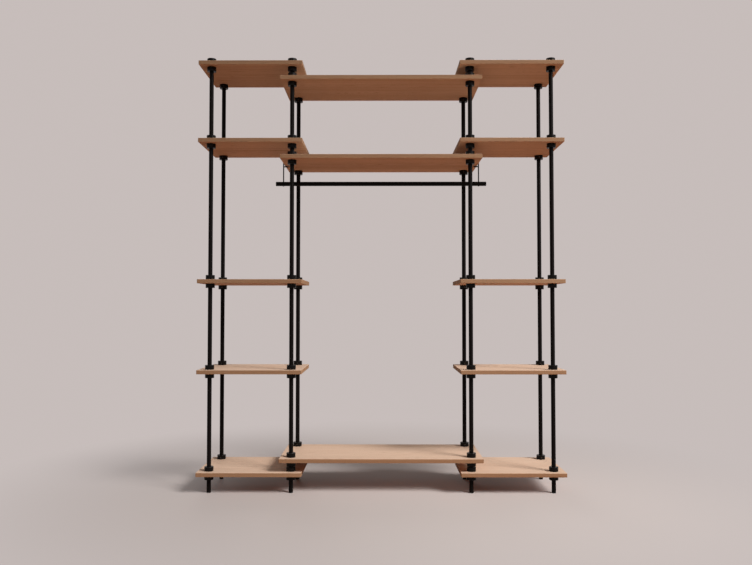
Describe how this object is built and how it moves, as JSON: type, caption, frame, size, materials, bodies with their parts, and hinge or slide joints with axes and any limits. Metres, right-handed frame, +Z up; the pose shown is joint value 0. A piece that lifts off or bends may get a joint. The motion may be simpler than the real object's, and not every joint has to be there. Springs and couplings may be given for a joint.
{
  "type": "open frame wardrobe",
  "caption": "Open wardrobe frame: slim black posts carry oak shelves clamped by round collars in side bays and a wide middle bay, with a clothes rail hung under a middle shelf.",
  "frame": {"origin": "on the floor, under the middle of the unit", "axes": "+Z up, +X to the right along the bays, +Y from the front to the back"},
  "size_m": [1.81, 0.4, 2.159],
  "materials": {
    "oak": "oiled, open grain along the board",
    "black_tube": "matte powder coat",
    "black_collar": "satin black",
    "black_wire": "matte powder coat",
    "black_screw": "black oxide",
    "black_plastic": "fine moulded grain"
  },
  "bodies": {
    "frame": {"post_left_outer_front": "black_tube", "post_left_outer_back": "black_tube", "post_left_inner_front": "black_tube", "post_left_inner_back": "black_tube", "post_right_inner_front": "black_tube", "post_right_inner_back": "black_tube", "post_right_outer_front": "black_tube", "post_right_outer_back": "black_tube", "post_caps": "black_plastic", "floor_glides": "black_plastic", "left_shelf_1": "oak", "left_shelf_1_collars": "black_collar", "left_shelf_1_screws": "black_screw", "left_shelf_5": "oak", "left_shelf_5_collars": "black_collar", "left_shelf_5_screws": "black_screw", "right_shelf_1": "oak", "right_shelf_1_collars": "black_collar", "right_shelf_1_screws": "black_screw", "right_shelf_5": "oak", "right_shelf_5_collars": "black_collar", "right_shelf_5_screws": "black_screw", "middle_shelf_1": "oak", "middle_shelf_1_collars": "black_collar", "middle_shelf_1_screws": "black_screw", "middle_shelf_3": "oak", "middle_shelf_3_collars": "black_collar", "middle_shelf_3_screws": "black_screw"},
    "left_second_shelf": {"left_shelf_2": "oak", "left_shelf_2_collars": "black_collar", "left_shelf_2_screws": "black_screw"},
    "right_second_shelf": {"right_shelf_2": "oak", "right_shelf_2_collars": "black_collar", "right_shelf_2_screws": "black_screw"},
    "left_third_shelf": {"left_shelf_3": "oak", "left_shelf_3_collars": "black_collar", "left_shelf_3_screws": "black_screw"},
    "right_third_shelf": {"right_shelf_3": "oak", "right_shelf_3_collars": "black_collar", "right_shelf_3_screws": "black_screw"},
    "left_fourth_shelf": {"left_shelf_4": "oak", "left_shelf_4_collars": "black_collar", "left_shelf_4_screws": "black_screw"},
    "right_fourth_shelf": {"right_shelf_4": "oak", "right_shelf_4_collars": "black_collar", "right_shelf_4_screws": "black_screw"},
    "middle_second_shelf": {"middle_shelf_2": "oak", "middle_shelf_2_collars": "black_collar", "middle_shelf_2_screws": "black_screw"},
    "hanging_rail": {"clothes_rail": "black_tube", "rail_end_plugs": "black_plastic", "rail_hanger_left": "black_wire", "rail_hanger_right": "black_wire", "rail_screws": "black_screw"}
  },
  "joints": [
    {"name": "left_second_shelf_height", "type": "slide", "parent": "frame", "child": "left_second_shelf", "axis": [0, 0, 1], "range_m": [-0.006, 0.23]},
    {"name": "right_second_shelf_height", "type": "slide", "parent": "frame", "child": "right_second_shelf", "axis": [0, 0, 1], "range_m": [-0.006, 0.23]},
    {"name": "left_third_shelf_height", "type": "slide", "parent": "frame", "child": "left_third_shelf", "axis": [0, 0, 1], "range_m": [-0.18, 0.3]},
    {"name": "right_third_shelf_height", "type": "slide", "parent": "frame", "child": "right_third_shelf", "axis": [0, 0, 1], "range_m": [-0.18, 0.3]},
    {"name": "left_fourth_shelf_height", "type": "slide", "parent": "frame", "child": "left_fourth_shelf", "axis": [0, 0, 1], "range_m": [-0.34, 0.18]},
    {"name": "right_fourth_shelf_height", "type": "slide", "parent": "frame", "child": "right_fourth_shelf", "axis": [0, 0, 1], "range_m": [-0.34, 0.18]},
    {"name": "middle_second_shelf_height", "type": "slide", "parent": "frame", "child": "middle_second_shelf", "axis": [0, 0, 1], "range_m": [-0.15, 0.006]},
    {"name": "rail_swing", "type": "hinge", "parent": "middle_second_shelf", "child": "hanging_rail", "pos_m": [0, 0, 1.6723], "axis": [1, 0, 0], "range_deg": [-25, 25]}
  ]
}
